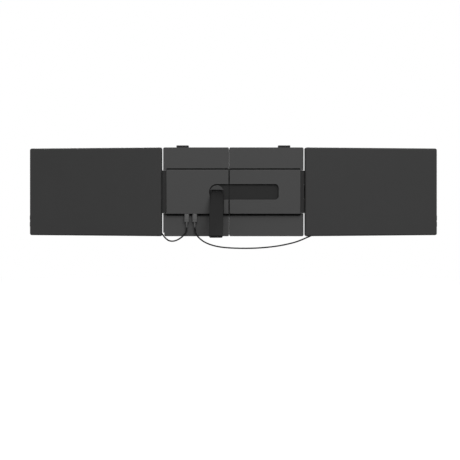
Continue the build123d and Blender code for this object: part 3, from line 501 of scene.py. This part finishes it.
# The grip's profile: how far below the hub, and what share of the thickness.
grip_profile = [(0.0, 0.93), (0.0002, 0.98), (0.0006, 1.0)]
for groove in groove_places:
    grip_profile += [(groove - groove_half, 1.0), (groove - groove_half / 3, groove_floor)]
    grip_profile += [(groove + groove_half / 3, groove_floor), (groove + groove_half, 1.0)]
grip_profile += [(grip_length - 0.0005, 1.0), (grip_length - 0.00015, 0.97), (grip_length, 0.91)]
grip_outline = rounded_ring(grip_width, grip_thickness, grip_corner, steps=6)
left_pieces = []
right_pieces = []
for side, neck_end, pieces in (
    ("left", left_line[0], left_pieces), ("right", right_line[0], right_pieces),
):
    face_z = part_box(f"{side}_plug")[1].z
    rings = []
    for drop, share in grip_profile:
        pull = grip_thickness * (1 - share) / 2
        ring_x = 1 - 2 * pull / grip_width
        ring_y = 1 - 2 * pull / grip_thickness
        rings.append([
            (neck_end.x + x * ring_x, neck_end.y + y * ring_y, face_z - drop)
            for x, y in grip_outline
        ])
    grip = skin(f"{side}_plug_grip", rings, grip_grey)
    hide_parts(f"{side}_plug")
    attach(grip, "left_half")
    neck = grow(f"{side}_plug_neck", neck_tree, {
        "Start": (neck_end.x, neck_end.y, face_z - grip_length + neck_overlap),
        "End": tuple(neck_end - Vector((0, 0, jacket_lap))),
        "Root Radius": 0.0027,
        "Tip Radius": 0.0018,
        "Ribs": 6,
        "Rib Depth": 0.00035,
        "Steps": 61,
        "Material": neck_grey,
    })
    neck.data.shade_smooth()
    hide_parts(f"{side}_plug")
    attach(neck, "left_half")
    pieces.extend((grip, neck))

# Each sleeve: its cable's line, and how far it goes on past that line's end.
sleeve_ends = {"left": (left_line, 0.006), "right": (tail_line, 0.014)}
for side, (line, sleeve_length) in sleeve_ends.items():
    entry = line[-1]
    way = (line[-1] - line[-2]).normalized()
    sleeve = grow(f"{side}_entry_sleeve", neck_tree, {
        "Start": tuple(entry + way * sleeve_length),
        "End": tuple(entry - way * jacket_lap),
        "Root Radius": 0.0021,
        "Tip Radius": 0.00185,
        "Ribs": 3,
        "Rib Depth": 0.0002,
        "Steps": 37,
        "Material": jacket,
    })
    sleeve.data.shade_smooth()
    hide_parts(f"{side}_cable_gland")
    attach(sleeve, f"{side}_wing")

# ------------------------------------------------------------- back plates
# Two flat plates of bead-blasted aluminium, anodised dark grey, with a narrow
# seam between them. The lid's hooks slide in pockets in their top edges.

plate_grey = fine_plastic(
    "anodised_plate", (0.057, 0.057, 0.057), roughness=0.55, grain=0.00035, depth=0.000006)
edge_break = 0.0003


def break_edges(piece, width):
    """A fine machined or moulded radius on a piece's sharp edges."""
    weld = piece.modifiers.new("weld", "WELD")
    weld.merge_threshold = 0.000001
    flat = piece.modifiers.new("flat", "DECIMATE")
    flat.decimate_type = "DISSOLVE"
    flat.angle_limit = radians(0.5)
    bevel = piece.modifiers.new("edge", "BEVEL")
    bevel.limit_method = "ANGLE"
    bevel.angle_limit = radians(35)
    bevel.width = width
    bevel.segments = 2
    bevel.harden_normals = True
    bevel.use_clamp_overlap = True


def dress(node, material, width=0.0):
    """Gives a CAD node its material, and a broken edge where asked."""
    cad[node].material_slots[0].material = material
    if width:
        break_edges(cad[node], width)


for side in ("left", "right"):
    dress(f"{side}_back_plate", plate_grey, edge_break)

# -------------------------------------------------------------- hub covers
# The hub's two covers are moulded in grey ABS, and the faces of the leg's recess in them
# are coloured near black. A black tray shows as a step round them, and a black sleeve
# closes the gap when the halves are pulled apart. Both are near black: their own black,
# and painted shade for the gaps round and between the covers.

cover_grey = fine_plastic(
    "cover_grey", (0.056, 0.056, 0.056), roughness=0.55, grain=0.00035, depth=0.000006)
# Near black: the tray's and sleeve's own black, darkened further as painted shade for the gaps.
tray_black_and_gap_shade = fine_plastic(
    "tray_black_and_gap_shade", (0.004, 0.004, 0.004), roughness=0.6, grain=0.0004, depth=0.000008, specular=0.03)
# A mask on the covers' material colours the recess's faces near black.
recess_black = (0.017, 0.017, 0.017)
recess_mask_depth = 0.0007  # the black starts this far in from the covers' rear faces
recess_mask_half_height = 0.0507  # the outside walls stay grey
recess_mask_half_width = 0.1552


def place_axes(material):
    """The X, Y and Z of the place on the object, as outputs in a material."""
    place = add_node(material.node_tree, "ShaderNodeTexCoord").outputs["Object"]
    return add_node(material.node_tree, "ShaderNodeSeparateXYZ", {"Vector": place}).outputs


def repaint(material, mask, colour):
    """Gives a material another colour where a mask is 1."""
    shader = material.node_tree.nodes["Principled BSDF"]
    both = add_node(material.node_tree, "ShaderNodeMix", {
        "Factor": mask,
        "A": shader.inputs["Base Color"].links[0].from_socket,
        "B": (*colour, 1),
    }, data_type="RGBA")
    set_inputs(shader, {"Base Color": both.outputs["Result"]})


cover_tree = cover_grey.node_tree
cover_axes = place_axes(cover_grey)
cover_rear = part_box("left_hub_cover")[0].y
recess_mask = calculate(cover_tree, "GREATER_THAN", cover_axes["Y"], cover_rear + recess_mask_depth)
for axis, limit in (("Z", recess_mask_half_height), ("X", recess_mask_half_width)):
    off_middle = calculate(cover_tree, "ABSOLUTE", cover_axes[axis])
    within = calculate(cover_tree, "LESS_THAN", off_middle, limit)
    recess_mask = calculate(cover_tree, "MULTIPLY", recess_mask, within)
repaint(cover_grey, recess_mask, recess_black)
for side in ("left", "right"):
    dress(f"{side}_hub_cover", cover_grey, edge_break)
    dress(f"{side}_hub_tray", tray_black_and_gap_shade, edge_break)
dress("telescope_sleeve", tray_black_and_gap_shade)

# ------------------------------------------------------------------ screens
# Each screen is a thin charcoal shell with a black bezel in front, a matt
# panel behind its opening, and a backlight, a small board and two speakers.

shell_grey = fine_plastic(
    "shell_charcoal", (0.0368, 0.0368, 0.0368), roughness=0.55, grain=0.0003, depth=0.000006)
bezel_black = fine_plastic(
    "bezel_black", (0.012, 0.012, 0.012), roughness=0.45, grain=0.0003, depth=0.000005,
    specular=0.3)
panel_black = fine_plastic(
    "panel_off", (0.008, 0.008, 0.010), roughness=0.28, grain=0.00012, depth=0.000001, specular=0.5)
film_white = fine_plastic(
    "backlight_film", (0.75, 0.75, 0.76), roughness=0.4, grain=0.0006, depth=0.000004, specular=0.4)
board_green = fine_plastic(
    "board_green", (0.02, 0.11, 0.05), roughness=0.35, grain=0.0012, depth=0.00003, specular=0.5)
speaker_black = fine_plastic(
    "speaker_black", (0.015, 0.015, 0.015), roughness=0.6, grain=0.0006, depth=0.00001,
    specular=0.3)
for side in ("left", "right"):
    dress(f"{side}_wing_cover", shell_grey)
    dress(f"{side}_wing_bezel", bezel_black, edge_break)
    dress(f"{side}_display_panel", panel_black)
    dress(f"{side}_backlight", film_white)
    dress(f"{side}_driver_board", board_green)
    dress(f"{side}_speakers", speaker_black)

# ----------------------------------------------- bumpers and speaker holes
# Four soft domes at each bezel's corners keep the folded screens apart. Two rows of
# small black discs, sunk just inside each shell's bottom edge, stand for the speaker
# holes: their black is painted shade, and no holes are cut.

wing_turn = radians(9.0)  # how far each screen stands forward of flat
wing_width = 0.3250
wing_height = 0.2080
hinge_axes = {"left": (-0.1620, 0.00625), "right": (0.1679, 0.00125)}  # x and y
first_edge = {"left": 0.0035, "right": -0.0017}  # the inner edge, from the hinge's axis
front_depth = {"left": 0.00525, "right": 0.00025}  # the bezel's front, behind the axis
bumper_inset = 0.0055
bumper_size = (0.0024, 0.0005, 0.0024)
hole_rows = (0.060, 0.265)  # their middles, from the screen's inner edge
hole_pitch = 0.0022
hole_count = 12
hole_setback = 0.0031  # from the bezel's front
hole_sink = 0.00018  # each hole's dark plug is centred this far inside the edge
bumper_soft = soft_black(
    "bumper_silicone", (0.014, 0.014, 0.014), roughness=0.6, grain=0.0004, depth=0.00001)
# Painted shade: each hole is a black disc just inside the edge, not an opening.
hole_painted_shade = fine_plastic(
    "hole_painted_shade", (0.003, 0.003, 0.003), roughness=0.9, grain=0.0003, depth=0.000004, specular=0.05)

bumper_tree, bumper_sizes, bumper_end_node = start_tree("corner_bumpers", [
    ("Width", "Float"), ("Height", "Float"), ("Size", "Vector"), ("Material", "Material"),
])
bumper_grid = add_node(bumper_tree, "GeometryNodeMeshGrid", {
    "Size X": bumper_sizes["Width"], "Size Y": bumper_sizes["Height"],
    "Vertices X": 2, "Vertices Y": 2,
})
bumper_stand = add_node(bumper_tree, "GeometryNodeTransform", {
    "Geometry": bumper_grid.outputs["Mesh"], "Rotation": (pi / 2, 0, 0),
})
bumper_dome = add_node(bumper_tree, "GeometryNodeMeshUVSphere", {
    "Segments": 24, "Rings": 12, "Radius": 1.0,
})
bumper_set = add_node(bumper_tree, "GeometryNodeInstanceOnPoints", {
    "Points": bumper_stand.outputs["Geometry"], "Instance": bumper_dome.outputs["Mesh"],
    "Scale": bumper_sizes["Size"],
})
finish_tree(bumper_tree, bumper_sizes, bumper_end_node, bumper_set.outputs["Instances"])

row_tree, row_sizes, row_end_node = start_tree("rod_row", [
    ("Count", "Int"), ("Start", "Vector"), ("Step", "Vector"), ("Radius", "Float"),
    ("Length", "Float"), ("Turn", "Vector"), ("Sides", "Int"), ("Material", "Material"),
])
row_line = add_node(row_tree, "GeometryNodeMeshLine", {
    "Count": row_sizes["Count"], "Start Location": row_sizes["Start"], "Offset": row_sizes["Step"],
}, mode="OFFSET")
row_rod = add_node(row_tree, "GeometryNodeMeshCylinder", {
    "Vertices": row_sizes["Sides"], "Radius": row_sizes["Radius"], "Depth": row_sizes["Length"],
})
row_set = add_node(row_tree, "GeometryNodeInstanceOnPoints", {
    "Points": row_line.outputs["Mesh"], "Instance": row_rod.outputs["Mesh"],
    "Rotation": row_sizes["Turn"],
})
finish_tree(row_tree, row_sizes, row_end_node, row_set.outputs["Instances"])

for side, way in (("left", -1), ("right", 1)):
    along = Vector((cos(wing_turn), way * sin(wing_turn), 0))
    forward = Vector((-way * sin(wing_turn), cos(wing_turn), 0))
    origin = Vector((*hinge_axes[side], 0))
    middle = origin + along * way * (first_edge[side] + wing_width / 2)
    middle -= forward * front_depth[side]
    place = Matrix((
        (along.x, forward.x, 0, middle.x),
        (along.y, forward.y, 0, middle.y),
        (0, 0, 1, 0),
        (0, 0, 0, 1),
    ))
    bumpers = grow(f"{side}_bezel_bumpers", bumper_tree, {
        "Width": wing_width - 2 * bumper_inset, "Height": wing_height - 2 * bumper_inset,
        "Size": bumper_size, "Material": bumper_soft,
    }, place)
    bumpers.data.shade_smooth()
    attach(bumpers, f"{side}_wing")
    for number, reach in enumerate(hole_rows, 1):
        first = way * (reach - wing_width / 2) - (hole_count - 1) / 2 * hole_pitch
        holes = grow(f"{side}_speaker_holes_{number}", row_tree, {
            "Count": hole_count, "Start": (first, -hole_setback, -wing_height / 2 + hole_sink),
            "Step": (hole_pitch, 0, 0), "Radius": 0.0005, "Length": 0.0004, "Turn": (0, 0, 0),
            "Sides": 16, "Material": hole_painted_shade,
        }, place)
        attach(holes, f"{side}_wing")

# ------------------------------------------------------------------- hinges
# Black painted zinc bars on the hub's ends carry the screens on long steel
# pins. A steel leaf, painted too and screwed in each screen, turns on its pin
# between the knuckles.


def brushed_metal(name, colour, roughness, stretch, depth):
    """Rolled or turned metal: fine lines along one way, and a faint drift of tone."""
    material, tree, place = start_material(name)
    pulled = add_node(tree, "ShaderNodeMapping", {"Vector": place, "Scale": stretch})
    lines = noise(tree, pulled.outputs["Vector"], scale=900.0, detail=3.0)
    set_inputs(tree.nodes["Principled BSDF"], {
        "Base Color": drift(tree, lines, colour, darkest=0.88, lightest=1.1),
        "Roughness": around(tree, lines, roughness, swing=0.08),
        "Normal": relief(tree, lines, depth),
        "Metallic": 1.0,
    })
    return material


zinc_black = fine_plastic(
    "zinc_satin_black", (0.018, 0.018, 0.018), roughness=0.45, grain=0.0004, depth=0.000008)
steel_turned = brushed_metal(
    "steel_turned", (0.42, 0.42, 0.42), roughness=0.3, stretch=(1, 1, 0.06), depth=0.000002)
screw_black = brushed_metal(
    "screw_black_oxide", (0.012, 0.012, 0.012), roughness=0.4, stretch=(1, 1, 1), depth=0.000002)
for side in ("left", "right"):
    dress(f"{side}_hinge_bar", zinc_black, edge_break)
    dress(f"{side}_hinge_leaf", zinc_black)
    dress(f"{side}_hinge_pin", steel_turned)
    dress(f"{side}_hinge_screws", screw_black)

# A black nylon washer lies in the gap at each end of each leaf's knuckle.
washer_outer = 0.0030
washer_inner = 0.0017
washer_thickness = 0.0006
washer_height = 0.0164  # above and below the middle of the hinge
washer_sides = 32
washer_profile = (  # radius, and which face it is on
    (washer_outer, -1), (washer_outer, 1), (washer_inner, 1), (washer_inner, -1),
)
nylon_black = soft_black(
    "nylon_black", (0.010, 0.010, 0.010), roughness=0.6, grain=0.0004, depth=0.000004, specular=0.1)
for side, (axis_x, axis_y) in hinge_axes.items():
    washer_bm = bmesh.new()
    for up in (-1, 1):
        loops = [
            [
                washer_bm.verts.new((
                    axis_x + radius * cos(2 * pi * j / washer_sides),
                    axis_y + radius * sin(2 * pi * j / washer_sides),
                    up * washer_height + face * washer_thickness / 2,
                ))
                for j in range(washer_sides)
            ]
            for radius, face in washer_profile
        ]
        for one, two in zip(loops, loops[1:] + loops[:1]):
            band(washer_bm, one, two, smooth=False)
    bmesh.ops.recalc_face_normals(washer_bm, faces=washer_bm.faces)
    name = f"{side}_hinge_washers"
    washers = add_mesh_object(name, finish_mesh(name, washer_bm), nylon_black)
    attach(washers, f"{side}_half")

# ----------------------------------------------------------- inside the hub
# Two steel bars from the left half slide in steel guides in the right one, and
# screws hold the covers to the plates. A green circuit board, screwed down in the
# left half, carries three steel USB-C sockets, two of them with a plug's tongue in.

steel_along = brushed_metal(
    "steel_brushed", (0.45, 0.45, 0.45), roughness=0.35, stretch=(0.06, 1, 1), depth=0.000002)
for node in ("slide_bars", "rail_guides", "usb_sockets", "plug_tongues"):
    dress(node, steel_along)
for node in ("left_hub_screws", "right_hub_screws", "board_screws"):
    dress(node, screw_black)
dress("circuit_board", board_green)

# -------------------------------------------------------------- host socket
# The laptop's own cable goes into the free socket. A black tongue stands in it
# with a row of gold-plated contacts on each side.

host_inset = 0.0046  # the free socket's middle, from the row of sockets' left end
tongue_width = 0.0067
tongue_thickness = 0.0007
tongue_corner = 0.0002
tongue_root = 0.0009  # below the top of the sockets
tongue_shoulder = 0.0010  # above their mouths, where the tip's eased edge starts
tongue_tip = 0.0008
tip_share = 0.9
contact_count = 12
contact_pitch = 0.0005
contact_middle = 0.0030  # above the mouths
tongue_black = fine_plastic(
    "socket_tongue", (0.012, 0.012, 0.012), roughness=0.45, grain=0.0003, depth=0.000004,
    specular=0.3)
contact_gold = brushed_metal(
    "contact_gold", (0.83, 0.62, 0.28), roughness=0.25, stretch=(1, 1, 0.2), depth=0.000001)
socket_low, socket_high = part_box("usb_sockets")
host_x = socket_low.x + host_inset
host_y = (socket_low.y + socket_high.y) / 2
tongue_rings = []
for height, share in (
    (socket_high.z - tongue_root, 1.0),
    (socket_low.z + tongue_shoulder, 1.0),
    (socket_low.z + tongue_tip, tip_share),
):
    outline = rounded_ring(
        tongue_width * share, tongue_thickness * share, tongue_corner, steps=3)
    tongue_rings.append([(host_x + x, host_y + y, height) for x, y in outline])
host_tongue = skin("host_socket_tongue", tongue_rings, tongue_black)
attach(host_tongue, "left_half")
first_contact = host_x - (contact_count - 1) / 2 * contact_pitch
for number, up in ((1, -1), (2, 1)):
    contact_start = (
        first_contact, host_y + up * tongue_thickness / 2, socket_low.z + contact_middle)
    contacts = grow(f"host_socket_contacts_{number}", row_tree, {
        "Count": contact_count, "Start": contact_start, "Step": (contact_pitch, 0, 0),
        "Radius": 0.00012, "Length": 0.0032, "Turn": (0, 0, 0), "Sides": 8,
        "Material": contact_gold,
    })
    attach(contacts, "left_half")

# -------------------------------------------------------------------- stand
# A black aluminium leg hangs from a round head that swivels in the recess. A
# cross pin lets the leg swing out, and its foot is a strip of rubber.

leg_black = fine_plastic(
    "leg_black", (0.0118, 0.0118, 0.0118), roughness=0.45, grain=0.00035, depth=0.000006)
# The cap's grey, lighter than the black leg, is painted highlight for the light its rounded rim
# catches.
head_grey_highlight = fine_plastic(
    "head_grey_highlight", (0.047, 0.047, 0.047), roughness=0.5, grain=0.00035, depth=0.000006)
foot_rubber = soft_black(
    "foot_rubber", (0.006, 0.006, 0.006), roughness=0.8, grain=0.0005, depth=0.00002, specular=0.1)
# Below cap_edge the ears are black like the leg, and darker still as painted shade for the gap at
# the hinge.
ear_black_and_gap_shade = (0.005, 0.005, 0.005)
cap_edge = 0.0046  # above this the head is its grey cap, below it the black ears
ears_and_gap_shade = calculate(head_grey_highlight.node_tree, "LESS_THAN", place_axes(head_grey_highlight)["Z"], cap_edge)
repaint(head_grey_highlight, ears_and_gap_shade, ear_black_and_gap_shade)
dress("swivel_head", head_grey_highlight, edge_break)
dress("leg", leg_black, edge_break)
dress("foot_pad", foot_rubber)
for node in ("swivel_washer", "swivel_nut"):
    dress(node, steel_turned)
for node in ("swivel_pin", "tilt_pin"):
    dress(node, screw_black)

# The foot's end has three moulded ribs that grip the table.
leg_lean = radians(46.0)  # from hanging straight down
tilt_axis = Vector((-0.0386, -0.0125, -0.0030))
down_leg = Vector((0, -sin(leg_lean), -cos(leg_lean)))
off_leg = Vector((0, -cos(leg_lean), sin(leg_lean)))
foot_reach = 0.1400  # from the tilt's axis to the end of the foot
rib_pitch = 0.0013
rib_radius = 0.0004
rib_length = 0.0238
foot_ribs = grow("foot_pad_ribs", row_tree, {
    "Count": 3, "Start": tuple(tilt_axis + down_leg * foot_reach - off_leg * rib_pitch),
    "Step": tuple(off_leg * rib_pitch), "Radius": rib_radius, "Length": rib_length,
    "Turn": (0, pi / 2, 0), "Sides": 12, "Material": foot_rubber,
})
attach(foot_ribs, "stand_leg")

# -------------------------------------------------------- hooks and buttons
# Two moulded hooks pull up out of the plates' top edges and hold the lid, each
# with a thin silicone liner in its throat. The screens' buttons are the same black.

hook_black = fine_plastic(
    "hook_black", (0.017, 0.017, 0.017), roughness=0.5, grain=0.0004, depth=0.000008)
pad_silicone = soft_black(
    "pad_silicone", (0.012, 0.012, 0.012), roughness=0.75, grain=0.0006, depth=0.00002,
    specular=0.15)
for side in ("left", "right"):
    dress(f"{side}_hook", hook_black, edge_break)
    dress(f"{side}_hook_pad", pad_silicone)
    dress(f"{side}_power_button", hook_black)
    dress(f"{side}_menu_button", hook_black)

# ----------------------------------------------------------------- lid pads
# The lid rests on a moulded silicone pad on each back plate, whose low level ribs
# keep it from sliding. A zinc-plated sheet, fixed to the left half, lies between
# them in front of the seam.

# Its pale grey is zinc plate, and seen through the plates' seam it is also painted highlight for
# the seam's edges.
bridge_zinc_and_seam_highlight = fine_plastic(
    "bridge_zinc_plate_and_seam_highlight", (0.40, 0.40, 0.40), roughness=0.5, grain=0.0006, depth=0.000006)
dress("bridge_plate", bridge_zinc_and_seam_highlight, edge_break)

pad_corner = 0.006
pad_edge = 0.0003  # the slab's front edge is eased by this much
pad_rib_radius = 0.0008
pad_rib_proud = 0.0003
pad_rib_pitch = 0.0045
pad_rib_margin = 0.0065
for side in ("left", "right"):
    low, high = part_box(f"{side}_lid_pad")
    pad_width = high.x - low.x
    pad_height = high.z - low.z
    pad_x = (low.x + high.x) / 2
    pad_z = (low.z + high.z) / 2
    slab_face = high.y - pad_rib_proud
    rings = []
    for depth, pull in ((low.y, 0.0), (slab_face - pad_edge, 0.0), (slab_face, pad_edge)):
        outline = rounded_ring(
            pad_width - 2 * pull, pad_height - 2 * pull, pad_corner - pull, steps=8)
        rings.append([(pad_x + x, depth, pad_z + z) for x, z in outline])
    slab = skin(f"{side}_lid_pad_slab", rings, pad_silicone)
    rib_count = int((pad_height - 2 * pad_rib_margin) / pad_rib_pitch) + 1
    first = pad_z - (rib_count - 1) / 2 * pad_rib_pitch
    ribs = grow(f"{side}_lid_pad_ribs", row_tree, {
        "Count": rib_count, "Start": (pad_x, high.y - pad_rib_radius, first),
        "Step": (0, 0, pad_rib_pitch), "Radius": pad_rib_radius,
        "Length": pad_width - 2 * pad_rib_margin, "Turn": (0, pi / 2, 0),
        "Sides": 16, "Material": pad_silicone,
    })
    for piece in (slab, ribs):
        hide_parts(f"{side}_lid_pad")
        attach(piece, f"{side}_half")
